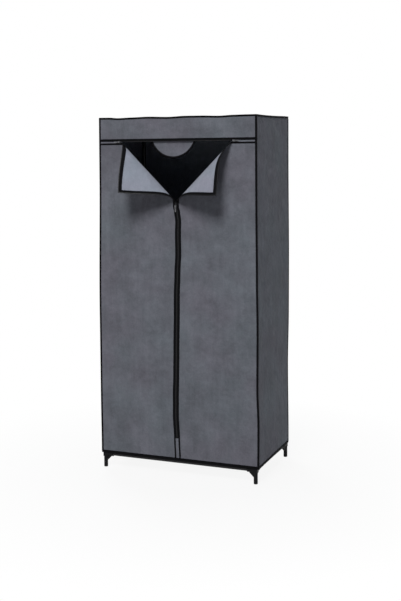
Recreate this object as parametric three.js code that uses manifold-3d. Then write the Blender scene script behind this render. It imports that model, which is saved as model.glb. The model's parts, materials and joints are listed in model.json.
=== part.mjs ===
// Portable fabric wardrobe: a knock-down frame of steel tubes and plastic connectors under a
// sewn cover of non-woven cloth. Two zips open the front, and its upper corners fold out.
//
// Millimetres, X to the right, Y to the back, Z up. The origin lies on the floor, in the middle
// of the whole part with its corners folded out.
import * as THREE from "three";
import { mergeVertices } from "three/addons/utils/BufferGeometryUtils.js";
import Module from "manifold-3d";

const wasm = await Module();
wasm.setup();

// Driving sizes of the whole wardrobe
const coverWidth = 750;
const coverDepth = 460;
const coverHeight = 1600; // floor to the top of the roof
const coverBottom = 73.5; // floor to the cover's lower edge

// Clearances
const seatGap = 0.3; // between pieces that touch
const coverSlack = 0.8; // between the cover's walls and the connectors
const overrun = 2; // by which a cutting solid passes the face that it cuts

// Frame
const tubeRadius = 8;
const tubeWall = 0.8;
const socketWall = 3;
const socketReach = 36; // from the middle of a connector to the mouth of a socket
const stopWall = 2.5; // material between the ends of two bores
const railHeight = 61; // floor to the axis of the bottom rails
const middleHeight = 832; // floor to the middle connectors
const legRadius = 9;
const legChamfer = 1.5;
const legOffset = 2.3; // by which a leg stands outside the axis of its connector
const gussetRun = 20;
const gussetRise = 22;
const gussetThickness = 7;

// Cover
const clothThickness = 1;
const trimThickness = 1.4;
const pipingWidth = 6.5;
const bindingWidth = 6.5;
const valanceHeight = 101; // roof to the middle of the valance's binding
const sideBulge = 5; // by which a wall swells at its middle
const doorBulge = 4;
const roofSag = 1.5;
const baseSag = 5;

// Zips
const topZipWidth = 10; // between the two bindings
const doorZipWidth = 14;
const coilWidth = 5;
const coilHeight = 0.5;
const doorwayShare = 0.712; // width of the doorway as a share of the cover's
const doorZipBottom = 168; // floor to the end of the door's zip
const zipStopWidth = 8;
const foldClearance = 6; // between the fixed zip half and the end of a corner's fold
const apexGap = 2; // between the door's zip and the lowest point of the doorway

// Corners of the doors, folded out: degrees between a corner and its door
const leftFlapAngle = 38;
const rightFlapAngle = 37;
const flapTrimThickness = 1.2;
const tipClearance = 2; // cut off the corners' lowest tips, which meet above the door's zip

// Dust flap
const dustFlapRadius = 113;
const dustFlapShift = -14; // its middle from the middle of the cover
const dustFlapDrop = 79.5; // below the valance
const dustFlapSeam = 7; // height of the strip sewn behind the valance

// Zip sliders and their pull tabs
const sliderWidth = 9;
const sliderLength = 13;
const sliderThickness = 3.6;
const sliderWaistShare = 0.62; // width of the slider's tail as a share of its shoulders
const crownLength = 9;
const crownWidth = 2.4;
const crownThickness = 1.2;
const pullBarRadius = 0.6;
const pullThickness = 1.2;
const pullWidth = 7;
const pullTipWidth = 4.6;
const pullLength = 24;
const pullWindowLength = 8;
const pullWindowWidth = 3.6;
const doorSliderDrop = 19; // middle of the door's slider below the lowest point of the doorway

// Fineness of round and of soft shapes
const roundSides = 16;
const barSides = 8;
const arcSteps = 20;
const clothColumns = 6;
const clothRows = 14;
const weldDistance = 1e-4; // within which corners of a surface are one

// Sizes that follow
const foldRun = (coverWidth * doorwayShare) / 2; // also the height of the doorway
const boreRadius = tubeRadius + seatGap;
const socketRadius = boreRadius + socketWall;
const boreStart = boreRadius + stopWall;
const frameInset = clothThickness + coverSlack + socketRadius;
const frameX = coverWidth / 2 - frameInset;
const frameY = coverDepth / 2 - frameInset;
const topHeight = coverHeight - trimThickness - seatGap - socketRadius;
const frontFace = -coverDepth / 2;
const clothEdgeX = coverWidth / 2 - pipingWidth - seatGap;
const clothEdgeY = coverDepth / 2 - pipingWidth - seatGap;
const clothTop = coverHeight - pipingWidth - seatGap;
const valanceBottom = coverHeight - valanceHeight;
const zipTop = valanceBottom - bindingWidth / 2;
const zipLine = zipTop - topZipWidth / 2; // where the two halves of the top zip meet
const zipBottom = zipTop - topZipWidth;
const apexHeight = zipLine - foldRun;
const doorZipTop = apexHeight - apexGap;
const doorBandHalf = doorZipWidth / 2 + bindingWidth;
const trimFace = frontFace - seatGap; // back of the trim that lies on the cloth
const sliderFace = trimFace - trimThickness - coilHeight - seatGap;
const topSliderX = foldRun + 2 * seatGap + sliderLength / 2;
const flapPivotY = frontFace - seatGap;
const flapReach = (foldRun / Math.SQRT2) * Math.sin(THREE.MathUtils.degToRad(leftFlapAngle));
const backReach = coverDepth / 2 + sideBulge;
const frontReach = flapReach - flapPivotY;
const bodyShift = (frontReach - backReach) / 2; // brings the middle of the whole part to Y zero

// Materials
function finish(color, roughness, metalness) {
  return () => new THREE.MeshStandardMaterial({ color, roughness, metalness });
}
const cloth = finish(0x5f6269, 0.95, 0);
const clothInside = finish(0x8f939c, 0.95, 0);
const trim = finish(0x141517, 0.8, 0);
const tubePaint = finish(0x17181b, 0.4, 0.3);
const plastic = finish(0x121316, 0.5, 0);
const sliderMetal = finish(0x1b1c1f, 0.35, 0.6);

// Directions
const right = new THREE.Vector3(1, 0, 0);
const back = new THREE.Vector3(0, 1, 0);
const up = new THREE.Vector3(0, 0, 1);
const left = right.clone().negate();
const front = back.clone().negate();
const down = up.clone().negate();

// Solids and meshes

function solidOf(geometry) {
  const bare = geometry.index ? geometry.toNonIndexed() : geometry.clone();
  bare.deleteAttribute("normal");
  bare.deleteAttribute("uv");
  const merged = mergeVertices(bare, weldDistance);
  return new wasm.Manifold(
    new wasm.Mesh({
      numProp: 3,
      vertProperties: merged.attributes.position.array,
      triVerts: new Uint32Array(merged.index.array),
    }),
  );
}

function geometryOf(solid) {
  const mesh = solid.getMesh();
  const geometry = new THREE.BufferGeometry();
  geometry.setAttribute("position", new THREE.BufferAttribute(mesh.vertProperties, 3));
  geometry.setIndex(new THREE.BufferAttribute(mesh.triVerts, 1));
  geometry.computeVertexNormals();
  return geometry;
}

function join(geometries) {
  return geometries.map(solidOf).reduce((sum, solid) => sum.add(solid));
}

function cut(solid, geometries) {
  return geometries.map(solidOf).reduce((rest, tool) => rest.subtract(tool), solid);
}

function addMesh(parent, name, geometry, material) {
  const mesh = new THREE.Mesh(geometry, material());
  mesh.name = name;
  parent.add(mesh);
  return mesh;
}

// A box between two corners
function block(low, high) {
  const size = high.map((value, i) => value - low[i]);
  const middle = high.map((value, i) => (value + low[i]) / 2);
  return new THREE.BoxGeometry(...size).translate(...middle);
}

// Turns a shape that stands on Z so that it points along a direction
function aim(geometry, direction) {
  const turn = new THREE.Quaternion().setFromUnitVectors(up, direction.clone().normalize());
  return geometry.applyQuaternion(turn);
}

// A round bar from one distance to another along a direction from the origin
function bar(radius, from, to, direction, sides = roundSides) {
  const upright = new THREE.CylinderGeometry(radius, radius, to - from, sides)
    .rotateX(Math.PI / 2)
    .translate(0, 0, (from + to) / 2);
  return aim(upright, direction);
}

// An outline in X and Z, drawn out along Y between two depths
function plate(points, low, high) {
  const outline = new THREE.Shape(points.map(([x, z]) => new THREE.Vector2(x, z)));
  return new THREE.ExtrudeGeometry(outline, { depth: high - low, bevelEnabled: false })
    .rotateX(Math.PI / 2)
    .translate(0, high, 0);
}

// A closed sheet: flat points and triangles, put in place once for each face, and walled in
// along the edges that only one triangle has. The triangles turn anticlockwise in X and Z.
function sheet(points, triangles, place) {
  const count = points.length;
  const position = [0, 1].flatMap((face) => points.flatMap(([x, z]) => place(x, z, face)));
  const index = triangles.flatMap(([a, b, c]) => [a, b, c, a + count, c + count, b + count]);
  const edges = new Set();
  for (const [a, b, c] of triangles) {
    for (const [from, to] of [[a, b], [b, c], [c, a]]) {
      if (!edges.delete(`${to} ${from}`)) edges.add(`${from} ${to}`);
    }
  }
  for (const edge of edges) {
    const [from, to] = edge.split(" ").map(Number);
    index.push(from, from + count, to, to, from + count, to + count);
  }
  const geometry = new THREE.BufferGeometry();
  geometry.setAttribute("position", new THREE.Float32BufferAttribute(position, 3));
  geometry.setIndex(index);
  geometry.computeVertexNormals();
  return geometry;
}

// Points and triangles between a left and a right edge, each given as a function of the height
function grid(bottom, top, leftEdge, rightEdge, columns, rows) {
  const points = [];
  const triangles = [];
  for (let row = 0; row <= rows; row++) {
    const z = bottom + ((top - bottom) * row) / rows;
    for (let column = 0; column <= columns; column++) {
      points.push([leftEdge(z) + ((rightEdge(z) - leftEdge(z)) * column) / columns, z]);
    }
  }
  for (let row = 0; row < rows; row++) {
    for (let column = 0; column < columns; column++) {
      const a = row * (columns + 1) + column;
      const b = a + columns + 1;
      triangles.push([a, a + 1, b + 1], [a, b + 1, b]);
    }
  }
  return [points, triangles];
}

// A smooth hump between two places, flat at both ends
function swell(value, from, to) {
  const share = THREE.MathUtils.clamp((value - from) / (to - from), 0, 1);
  return Math.sin(Math.PI * share) ** 2;
}

// Frame

// A moulded connector: a core, and a socket along each direction
function connector(directions, extras = []) {
  const core = block(Array(3).fill(-socketRadius), Array(3).fill(socketRadius));
  const sockets = directions.map((direction) => bar(socketRadius, 0, socketReach, direction));
  const bores = directions.map((direction) =>
    bar(boreRadius, boreStart, socketReach + overrun, direction),
  );
  return geometryOf(cut(join([core, ...sockets, ...extras]), bores));
}

// A steel tube between the middles of two connectors, seated at the bottom of both bores
function frameTube(parent, name, start, end) {
  const from = new THREE.Vector3(...start);
  const way = new THREE.Vector3(...end).sub(from);
  const seat = boreStart + seatGap;
  const length = way.length() - 2 * seat;
  const inner = tubeRadius - tubeWall;
  const profile = [[inner, 0], [tubeRadius, 0], [tubeRadius, length], [inner, length], [inner, 0]];
  const geometry = new THREE.LatheGeometry(
    profile.map(([r, z]) => new THREE.Vector2(r, z)),
    roundSides,
  )
    .rotateX(Math.PI / 2)
    .translate(0, 0, seat);
  const mesh = addMesh(parent, name, aim(geometry, way), tubePaint);
  mesh.position.copy(from);
}

// The leg under a bottom connector, chamfered at the floor
function leg() {
  const profile = [
    [0, -railHeight],
    [legRadius - legChamfer, -railHeight],
    [legRadius, legChamfer - railHeight],
    [legRadius, 0],
    [0, 0],
  ];
  const points = profile.map(([r, z]) => new THREE.Vector2(r, z));
  return new THREE.LatheGeometry(points, roundSides).rotateX(Math.PI / 2);
}

// The web between the leg and a bottom socket
function gusset() {
  const top = -socketRadius + overrun;
  const points = [
    [0, top],
    [0, -socketRadius - gussetRise],
    [legRadius - overrun, -socketRadius - gussetRise],
    [legRadius + gussetRun, -socketRadius],
    [legRadius + gussetRun, top],
  ];
  return plate(points, -gussetThickness / 2, gussetThickness / 2);
}

// Each corner is drawn as the front left one and mirrored to its place
const corners = [
  ["front_left", 1, 1],
  ["front_right", -1, 1],
  ["back_left", 1, -1],
  ["back_right", -1, -1],
];

function buildFrame(parent) {
  const underneath = [leg(), gusset(), gusset().rotateZ(Math.PI / 2)];
  for (const piece of underneath) piece.translate(-legOffset, -legOffset, 0);
  const foot = connector([right, back, up], underneath);
  const middle = connector([up, down, back]);
  const top = connector([right, back, down]);
  for (const [corner, sideX, sideY] of corners) {
    const group = new THREE.Group();
    group.scale.set(sideX, sideY, 1);
    parent.add(group);
    const at = (z) => [-frameX, -frameY, z];
    addMesh(group, `foot_${corner}`, foot, plastic).position.set(...at(railHeight));
    addMesh(group, `middle_connector_${corner}`, middle, plastic).position.set(...at(middleHeight));
    addMesh(group, `top_connector_${corner}`, top, plastic).position.set(...at(topHeight));
    frameTube(group, `lower_upright_${corner}`, at(railHeight), at(middleHeight));
    frameTube(group, `upper_upright_${corner}`, at(middleHeight), at(topHeight));
    frameTube(group, `top_side_rail_${corner}`, at(topHeight), [-frameX, 0, topHeight]);
  }
  for (const [name, side] of [["front", -1], ["back", 1]]) {
    const y = side * frameY;
    frameTube(parent, `bottom_rail_${name}`, [-frameX, y, railHeight], [frameX, y, railHeight]);
    frameTube(parent, `top_rail_${name}`, [-frameX, y, topHeight], [frameX, y, topHeight]);
  }
  for (const [name, side] of [["left", -1], ["right", 1]]) {
    const x = side * frameX;
    const inward = side < 0 ? right : left;
    frameTube(parent, `bottom_rail_${name}`, [x, -frameY, railHeight], [x, frameY, railHeight]);
    frameTube(parent, `crossbar_${name}`, [x, -frameY, middleHeight], [x, frameY, middleHeight]);
    const tee = connector([front, back, inward]);
    addMesh(parent, `tee_connector_${name}`, tee, plastic).position.set(x, 0, topHeight);
  }
  frameTube(parent, "hanging_rail", [-frameX, 0, topHeight], [frameX, 0, topHeight]);
}

// Cover

// A wall of the cover that swells at its middle. Its flat points have the wall's own X, and
// its outer face lies at minus the given distance.
function wall(halfWidth, distance) {
  const [points, triangles] = grid(
    coverBottom,
    clothTop,
    () => -halfWidth,
    () => halfWidth,
    clothColumns,
    clothRows,
  );
  return sheet(points, triangles, (x, z, face) => {
    const bulge = swell(x, -halfWidth, halfWidth) * swell(z, coverBottom, clothTop);
    return [x, -distance - sideBulge * bulge + clothThickness * face, z];
  });
}

// A level sheet of cloth that sags at its middle. Its upper face lies at the given height.
function levelSheet(halfWidth, halfDepth, height, sag) {
  const [points, triangles] = grid(
    -halfDepth,
    halfDepth,
    () => -halfWidth,
    () => halfWidth,
    clothColumns,
    clothColumns,
  );
  return sheet(points, triangles, (x, y, face) => {
    const drop = swell(x, -halfWidth, halfWidth) * swell(y, -halfDepth, halfDepth);
    return [x, y, height - sag * drop - clothThickness * face];
  });
}

// The bound seams: a ring round the roof and a strip down each corner, folded over both faces
function piping() {
  const [x, y] = [coverWidth / 2, coverDepth / 2];
  const full = [[-x, -y, coverBottom], [x, y, coverHeight]];
  const inner = full.map((corner, end) => {
    const inward = end ? -trimThickness : trimThickness;
    return [corner[0] + inward, corner[1] + inward, end ? corner[2] + inward : coverBottom - overrun];
  });
  const [wideX, wideY] = [x - pipingWidth, y - pipingWidth];
  const low = coverBottom - overrun;
  const high = coverHeight + overrun;
  const windows = [
    block([-x - overrun, -wideY, low], [x + overrun, wideY, coverHeight - pipingWidth]),
    block([-wideX, -y - overrun, low], [wideX, y + overrun, coverHeight - pipingWidth]),
    block([-wideX, -wideY, low], [wideX, wideY, high]),
  ];
  return geometryOf(cut(solidOf(block(...full)), [block(...inner), ...windows]));
}

// Where the fold of a left corner lies at a height
const foldX = (z) => apexHeight - z;

// The left door panel, cut along the fold
function doorPanel() {
  const innerEdge = -doorZipWidth / 2 - seatGap;
  const bendHeight = apexHeight - innerEdge;
  const rightEdge = (z) => Math.min(innerEdge, foldX(z));
  const lower = grid(
    coverBottom,
    bendHeight,
    () => -clothEdgeX,
    rightEdge,
    clothColumns,
    clothRows,
  );
  const upper = grid(bendHeight, zipTop, () => -clothEdgeX, rightEdge, clothColumns, 1);
  // The upper grid's lowest row is the lower grid's highest
  const shared = lower[0].length - (clothColumns + 1);
  const points = [...lower[0], ...upper[0].slice(clothColumns + 1)];
  const shift = (triangle) => triangle.map((corner) => corner + shared);
  const triangles = [...lower[1], ...upper[1].map(shift)];
  return sheet(points, triangles, (x, z, face) => {
    const across = swell(x, -clothEdgeX, -doorBandHalf);
    const bulge = across * swell(z, coverBottom, bendHeight);
    return [x, frontFace - doorBulge * bulge + clothThickness * face, z];
  });
}

// The binding under the valance with the fixed half of the top zip, the bindings on top of the
// doors, and at each end of the doorway the closed end of the zip, where its slider is parked
function topZipBand() {
  const depths = [trimFace - trimThickness, trimFace];
  const strip = (x0, x1, z0, z1) => block([x0, depths[0], z0], [x1, depths[1], z1]);
  const start = foldRun + seatGap;
  const stop = start + sliderLength + zipStopWidth;
  const tapeEnd = foldRun - foldClearance;
  const overlap = seatGap;
  const pieces = [
    strip(-clothEdgeX, clothEdgeX, zipTop, zipTop + bindingWidth),
    strip(-tapeEnd, tapeEnd, zipLine + seatGap / 2, zipTop + overlap),
    block(
      [-tapeEnd, depths[0] - coilHeight, zipLine + seatGap / 2],
      [tapeEnd, depths[1], zipLine + coilWidth / 2],
    ),
  ];
  for (const side of [-1, 1]) {
    const [inner, outer] = [side * start, side * clothEdgeX].sort((a, b) => a - b);
    const [from, to] = [side * start, side * stop].sort((a, b) => a - b);
    pieces.push(strip(inner, outer, zipBottom - bindingWidth, zipBottom));
    pieces.push(strip(from, to, zipBottom - bindingWidth, zipTop + overlap));
  }
  return geometryOf(join(pieces));
}

// The closed zip down the middle between its two bindings, which run on to the cover's edge
function doorZipBand() {
  const depths = [trimFace - trimThickness, trimFace];
  const band = block([-doorBandHalf, depths[0], coverBottom], [doorBandHalf, depths[1], doorZipTop]);
  const coil = block(
    [-coilWidth / 2, depths[0] - coilHeight, doorZipBottom],
    [coilWidth / 2, depths[1], doorZipTop],
  );
  const slot = block(
    [-doorZipWidth / 2, depths[0] - overrun, coverBottom - overrun],
    [doorZipWidth / 2, depths[1] + overrun, doorZipBottom],
  );
  return geometryOf(cut(join([band, coil]), [slot]));
}

// The cloth strip that closes the door below its zip
function zipEndStrip() {
  const half = doorZipWidth / 2 - seatGap;
  return block(
    [-half, trimFace - clothThickness, coverBottom],
    [half, trimFace, doorZipBottom - seatGap],
  );
}

function buildCover(parent) {
  addMesh(parent, "cover_piping", piping(), trim);
  addMesh(parent, "roof_panel", levelSheet(clothEdgeX, clothEdgeY, coverHeight, roofSag), cloth);
  const backPanel = addMesh(parent, "back_panel", wall(clothEdgeX, coverDepth / 2), cloth);
  backPanel.rotation.z = Math.PI;
  for (const [name, side] of [["left", -1], ["right", 1]]) {
    const panel = addMesh(parent, `${name}_side_panel`, wall(clothEdgeY, coverWidth / 2), cloth);
    panel.rotation.z = (side * Math.PI) / 2;
    const mirrored = new THREE.Group();
    mirrored.scale.x = -side;
    parent.add(mirrored);
    addMesh(mirrored, `${name}_door_panel`, doorPanel(), cloth);
  }
  const valance = block(
    [-clothEdgeX, frontFace, zipTop + seatGap],
    [clothEdgeX, frontFace + clothThickness, clothTop],
  );
  addMesh(parent, "valance", valance, cloth);
  addMesh(parent, "top_zip_band", topZipBand(), trim);
  addMesh(parent, "door_zip_band", doorZipBand(), trim);
  addMesh(parent, "zip_end_strip", zipEndStrip(), cloth);
  const baseHeight = railHeight + tubeRadius + seatGap + clothThickness;
  const baseX = frameX - socketReach - seatGap;
  addMesh(parent, "base_shelf", levelSheet(baseX, frameY + tubeRadius / 2, baseHeight, baseSag), cloth);
}

// Folded corners of the doors

// A corner is drawn closed, in its own frame: X runs along the fold from the end of the top
// zip to the lowest point of the doorway, Z away from the fold, and Y to the back

// A point of the closed left doorway, given by its distances below the top zip's line and
// left of the door's zip line, in the corner's frame
function alongFold(below, beside) {
  return [
    (foldRun - beside + below) / Math.SQRT2,
    (foldRun - beside - below) / Math.SQRT2 + seatGap,
  ];
}

const topEdge = topZipWidth / 2 + bindingWidth;

// A flat piece of a corner from its outline, given below and beside the zip lines
function cornerPiece(outline, thickness) {
  return plate(outline.map((place) => alongFold(...place)), seatGap, seatGap + thickness);
}

// The cloth triangle of a corner, inside its bound edges
function cornerCloth() {
  const below = topEdge + seatGap;
  const beside = doorBandHalf + seatGap;
  const outline = [[below, beside], [foldRun - beside, beside], [below, foldRun - below]];
  return cornerPiece(outline, clothThickness);
}

// The bound edges of a corner, each with its half of a zip. Half of the clearance to the other
// half of the zip is added to the corner's own distance from its fold.
function cornerEdging() {
  const half = seatGap / 2 + seatGap / Math.SQRT2;
  const outline = [
    [half, foldRun - half],
    [half, half],
    [foldRun - tipClearance, half],
    [foldRun - doorBandHalf, doorBandHalf],
    [topEdge, doorBandHalf],
    [topEdge, foldRun - topEdge],
  ];
  return cornerPiece(outline, flapTrimThickness);
}

function buildCorner(parent, name, side, angle) {
  const mirrored = new THREE.Group();
  mirrored.scale.x = side;
  parent.add(mirrored);
  const fold = new THREE.Group();
  fold.position.set(-foldRun, flapPivotY, zipLine);
  fold.rotation.y = Math.PI / 4;
  mirrored.add(fold);
  const hinge = new THREE.Group();
  hinge.rotation.x = Math.PI - THREE.MathUtils.degToRad(angle);
  fold.add(hinge);
  addMesh(hinge, `${name}_corner_flap`, cornerCloth(), clothInside);
  addMesh(hinge, `${name}_flap_edging`, cornerEdging(), trim);
}

// Dust flap

// An arc of the flap's edge, from its left end round the bottom to its right end, as far down
// as its circle goes below the flap's top
function flapArc(radius, top) {
  const reach = Math.acos(-top / radius);
  const points = [];
  for (let step = 0; step <= arcSteps; step++) {
    const angle = -reach + (2 * reach * step) / arcSteps;
    points.push([radius * Math.sin(angle), -radius * Math.cos(angle)]);
  }
  return points;
}

function buildDustFlap(parent) {
  const centreHeight = zipTop - dustFlapDrop + dustFlapRadius;
  const top = zipTop + dustFlapSeam - centreHeight;
  const innerRadius = dustFlapRadius - bindingWidth;
  const faceY = frontFace + flapTrimThickness + seatGap;
  const depths = [faceY, faceY + clothThickness];
  const panel = plate(flapArc(innerRadius - seatGap, top), ...depths);
  const ring = [...flapArc(dustFlapRadius, top), ...flapArc(innerRadius, top).reverse()];
  const group = new THREE.Group();
  group.position.set(dustFlapShift, 0, centreHeight);
  parent.add(group);
  addMesh(group, "dust_flap", panel, cloth);
  addMesh(group, "dust_flap_binding", plate(ring, ...depths), trim);
}

// Zip sliders

// A slider's body, drawn upright: shoulders at the top, its back at Y zero, and on its front a
// bridge that the pull tab hangs from
function sliderBody() {
  const half = sliderWidth / 2;
  const tail = half * sliderWaistShare;
  const end = sliderLength / 2;
  const outline = [[-tail, -end], [tail, -end], [half, 0], [half, end], [-half, end], [-half, 0]];
  const slot = 2 * (pullBarRadius + seatGap);
  const crownFace = -sliderThickness - slot;
  const crown = block(
    [-crownWidth / 2, crownFace - crownThickness, -crownLength / 2],
    [crownWidth / 2, -sliderThickness + seatGap, crownLength / 2],
  );
  const reach = crownLength / 2 - crownThickness;
  const passage = block([-crownWidth, crownFace, -reach], [crownWidth, -sliderThickness, reach]);
  const arch = cut(solidOf(crown), [passage]);
  return geometryOf(solidOf(plate(outline, -sliderThickness, 0)).add(arch));
}

// A pull tab, drawn hanging from its bar, whose middle is the origin
function pullTab() {
  const half = pullWidth / 2;
  const tip = pullTipWidth / 2;
  const outline = [[-half, 0], [-tip, -pullLength], [tip, -pullLength], [half, 0]];
  const tab = plate(outline, -pullThickness / 2, pullThickness / 2);
  const hole = block(
    [-pullWindowWidth / 2, -overrun, -pullWindowLength],
    [pullWindowWidth / 2, overrun, overrun],
  );
  const pin = bar(pullBarRadius, -half, half, right, barSides);
  return geometryOf(cut(solidOf(tab), [hole]).add(solidOf(pin)));
}

// A slider on a zip: turned about Y so that its shoulders lead
function buildSlider(parent, name, x, z, turn) {
  const group = new THREE.Group();
  group.position.set(x, sliderFace, z);
  group.rotation.y = turn;
  parent.add(group);
  addMesh(group, `${name}_slider`, sliderBody(), sliderMetal);
  const pull = addMesh(group, `${name}_pull`, pullTab(), sliderMetal);
  pull.position.y = -sliderThickness - pullBarRadius - seatGap;
}

// The whole part

const wardrobe = new THREE.Group();
const body = new THREE.Group();
body.position.y = bodyShift;
wardrobe.add(body);

buildFrame(body);
buildCover(body);
buildCorner(body, "left", 1, leftFlapAngle);
buildCorner(body, "right", -1, rightFlapAngle);
buildDustFlap(body);
buildSlider(body, "top_left", -topSliderX, zipLine, Math.PI / 2);
buildSlider(body, "top_right", topSliderX, zipLine, -Math.PI / 2);
buildSlider(body, "door", 0, apexHeight - doorSliderDrop, 0);

export default wardrobe;
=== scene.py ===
"""Looks of the portable fabric wardrobe: its sewn cover, bindings, zips and painted frame.

Metres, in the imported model's frame. The cover's soft pieces replace the plain solids, and the
frame's tubes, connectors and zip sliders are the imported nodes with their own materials.
"""

import json
import math
from functools import partial

import bpy
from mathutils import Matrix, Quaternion, Vector, noise


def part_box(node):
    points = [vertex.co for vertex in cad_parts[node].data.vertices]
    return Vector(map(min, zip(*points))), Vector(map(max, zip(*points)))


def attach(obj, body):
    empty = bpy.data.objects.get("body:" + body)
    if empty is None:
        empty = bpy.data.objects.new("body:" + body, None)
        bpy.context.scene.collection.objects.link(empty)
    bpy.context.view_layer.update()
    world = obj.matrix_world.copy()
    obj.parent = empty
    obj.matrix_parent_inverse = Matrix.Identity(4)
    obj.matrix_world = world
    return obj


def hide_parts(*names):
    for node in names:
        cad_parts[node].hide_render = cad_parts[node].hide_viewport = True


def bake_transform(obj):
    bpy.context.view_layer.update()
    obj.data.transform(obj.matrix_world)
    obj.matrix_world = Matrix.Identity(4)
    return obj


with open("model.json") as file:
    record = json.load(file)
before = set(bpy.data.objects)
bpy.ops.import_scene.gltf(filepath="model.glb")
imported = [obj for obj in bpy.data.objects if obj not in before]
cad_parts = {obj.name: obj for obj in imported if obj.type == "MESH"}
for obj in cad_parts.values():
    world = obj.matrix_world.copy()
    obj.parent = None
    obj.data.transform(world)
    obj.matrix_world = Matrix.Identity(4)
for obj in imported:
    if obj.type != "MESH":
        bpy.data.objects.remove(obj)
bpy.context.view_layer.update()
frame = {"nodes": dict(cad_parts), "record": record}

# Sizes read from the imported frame
COVER_LOW, COVER_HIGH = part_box("cover_piping")
HALF_WIDTH = COVER_HIGH.x
FRONT = COVER_LOW.y
BACK = COVER_HIGH.y
COVER_BOTTOM = COVER_LOW.z
COVER_TOP = COVER_HIGH.z

# Cloth and bindings. A panel's cut edges stay inside the seams, and its face lies just under them.
CLOTH = 0.0008
PANEL_INSET = 0.0012
PANEL_SINK = 0.0002
WALL_COLUMN = 0.009
WALL_ROW = 0.010
BINDING = 0.0072
FLAP_BINDING = 0.0125
VALANCE_BINDING = 0.0105
DUST_BINDING = 0.0090
BINDING_THICKNESS = 0.0014
STRIP_STEP = 0.006
PIPING = 0.0070
PIPING_RIDGE = 0.0016
PIPING_STEP = 0.010
PIPING_ROWS = 150
HEM = 0.0125

# Zips. The teeth are the share by which every second ring of a coil is lower, and narrower by
# TEETH_NARROWING of that.
TAPE_THICKNESS = 0.0005
TAPE_SEAM = 0.001
COIL_WIDTH = 0.0028
COIL_HEIGHT = 0.0011
COIL_PITCH = 0.0018
TEETH = 0.35
TEETH_NARROWING = 0.25
DOOR_ZIP = 0.014
TOP_ZIP = 0.010
VALANCE_HEIGHT = 0.101
VALANCE_LAP = 0.00325
DOOR_LAP = 0.001
FOLD_RUN = 0.267
FOLD_CLEARANCE = 0.006
DOOR_ZIP_END = 0.168
CLOSED_ZIP = 0.0213
APEX_GAP = 0.002
END_GAP = 0.002

# Lifts that keep what lies on another thing clear of it
STACK = 0.0003
OVER_TAPE = 1.3 * STACK
ON_TAPE = STACK + TAPE_THICKNESS

# Heights that follow
VALANCE_EDGE = COVER_TOP - VALANCE_HEIGHT
ZIP_TOP = VALANCE_EDGE - VALANCE_LAP
ZIP_LINE = ZIP_TOP - TOP_ZIP / 2
ZIP_BOTTOM = ZIP_TOP - TOP_ZIP
APEX = ZIP_LINE - FOLD_RUN
BAND_HALF = DOOR_ZIP / 2 + BINDING
FLAP_TOP_EDGE = TOP_ZIP / 2 + FLAP_BINDING
FLAP_DEPTH = FOLD_RUN / math.sqrt(2)

# Dust flap
DUST_RADIUS = 0.113
DUST_SHIFT = -0.014
DUST_DROP = 0.0795
DUST_SEAM = 0.0055
DUST_INSET = 0.0020
DUST_BEND = 0.0035
DUST_BEND_RUN = 0.012
DUST_WAVES = 0.0015

# Relief of the cloth
WALL_SWELL = 0.004
SOFT_WAVES = 0.0045
STREAKS = 0.0018
CALM_BESIDE_SEAMS = 0.09
CALM_AT_ENDS = 0.12
ZIP_CALM = 0.12
ZIP_CALM_NEAR = 0.01
ZIP_CALM_FAR = 0.12
PUCKER = 0.0005
PUCKER_PITCH = 0.017
PUCKER_REACH = 0.030
HEM_PUCKER_START = 0.004
CONNECTOR_REACH = 0.050
INMOST = 0.0002
INWARD_SLOPE = 0.15

# Edges of the cover, its roof and its base
EDGE_WAVER = 0.0020
EDGE_WAVES = 3.4
EDGE_SAG = 0.0030
BACK_PEAK = 0.008
PEAK_RUN = 0.09
ROOF_DIP = 0.0025
ROOF_WAVES = 0.0025
ROOF_RIPPLE = 0.0008
SHELF_SAG = 0.0045
SHELF_WAVES = 0.002

# How far the door's zip strays to the right of the middle, at heights above the floor
ZIP_DRIFT = [(0.074, -0.0010), (0.168, -0.0040), (0.27, -0.0085), (0.34, -0.0065), (0.45, -0.0030),
             (0.56, -0.0015), (0.79, 0.0025), (0.90, 0.0062), (1.00, 0.0105), (1.08, 0.0095),
             (1.14, 0.0110), (1.178, 0.0060), (1.205, 0.0)]

# How far the cover's upright edges stray to the right, at heights above the floor
EDGE_DRIFT = {
    (-1, -1): [(0.074, -0.003), (0.35, -0.005), (0.80, -0.005), (1.30, 0.0)],
    (1, -1): [(0.074, 0.007), (0.25, 0.008), (0.42, 0.003), (0.65, 0.004), (0.90, 0.001), (1.20, 0.0)],
    (1, 1): [(0.10, 0.0), (0.45, -0.003), (0.70, 0.0), (1.00, 0.001), (1.40, 0.0)],
    (-1, 1): [(0.10, 0.0), (0.45, 0.002), (0.78, -0.002), (1.20, 0.0)],
}

# How far the front edge of the roof sags, at distances from the cover's left side
FRONT_SAG = [(0.0, 0.0), (0.048, 0.0003), (0.095, 0.0036), (0.16, 0.0018), (0.24, 0.0), (0.34, 0.0030),
             (0.42, 0.0), (0.49, 0.0005), (0.58, 0.0030), (0.65, 0.0005), (0.70, 0.0)]

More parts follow.
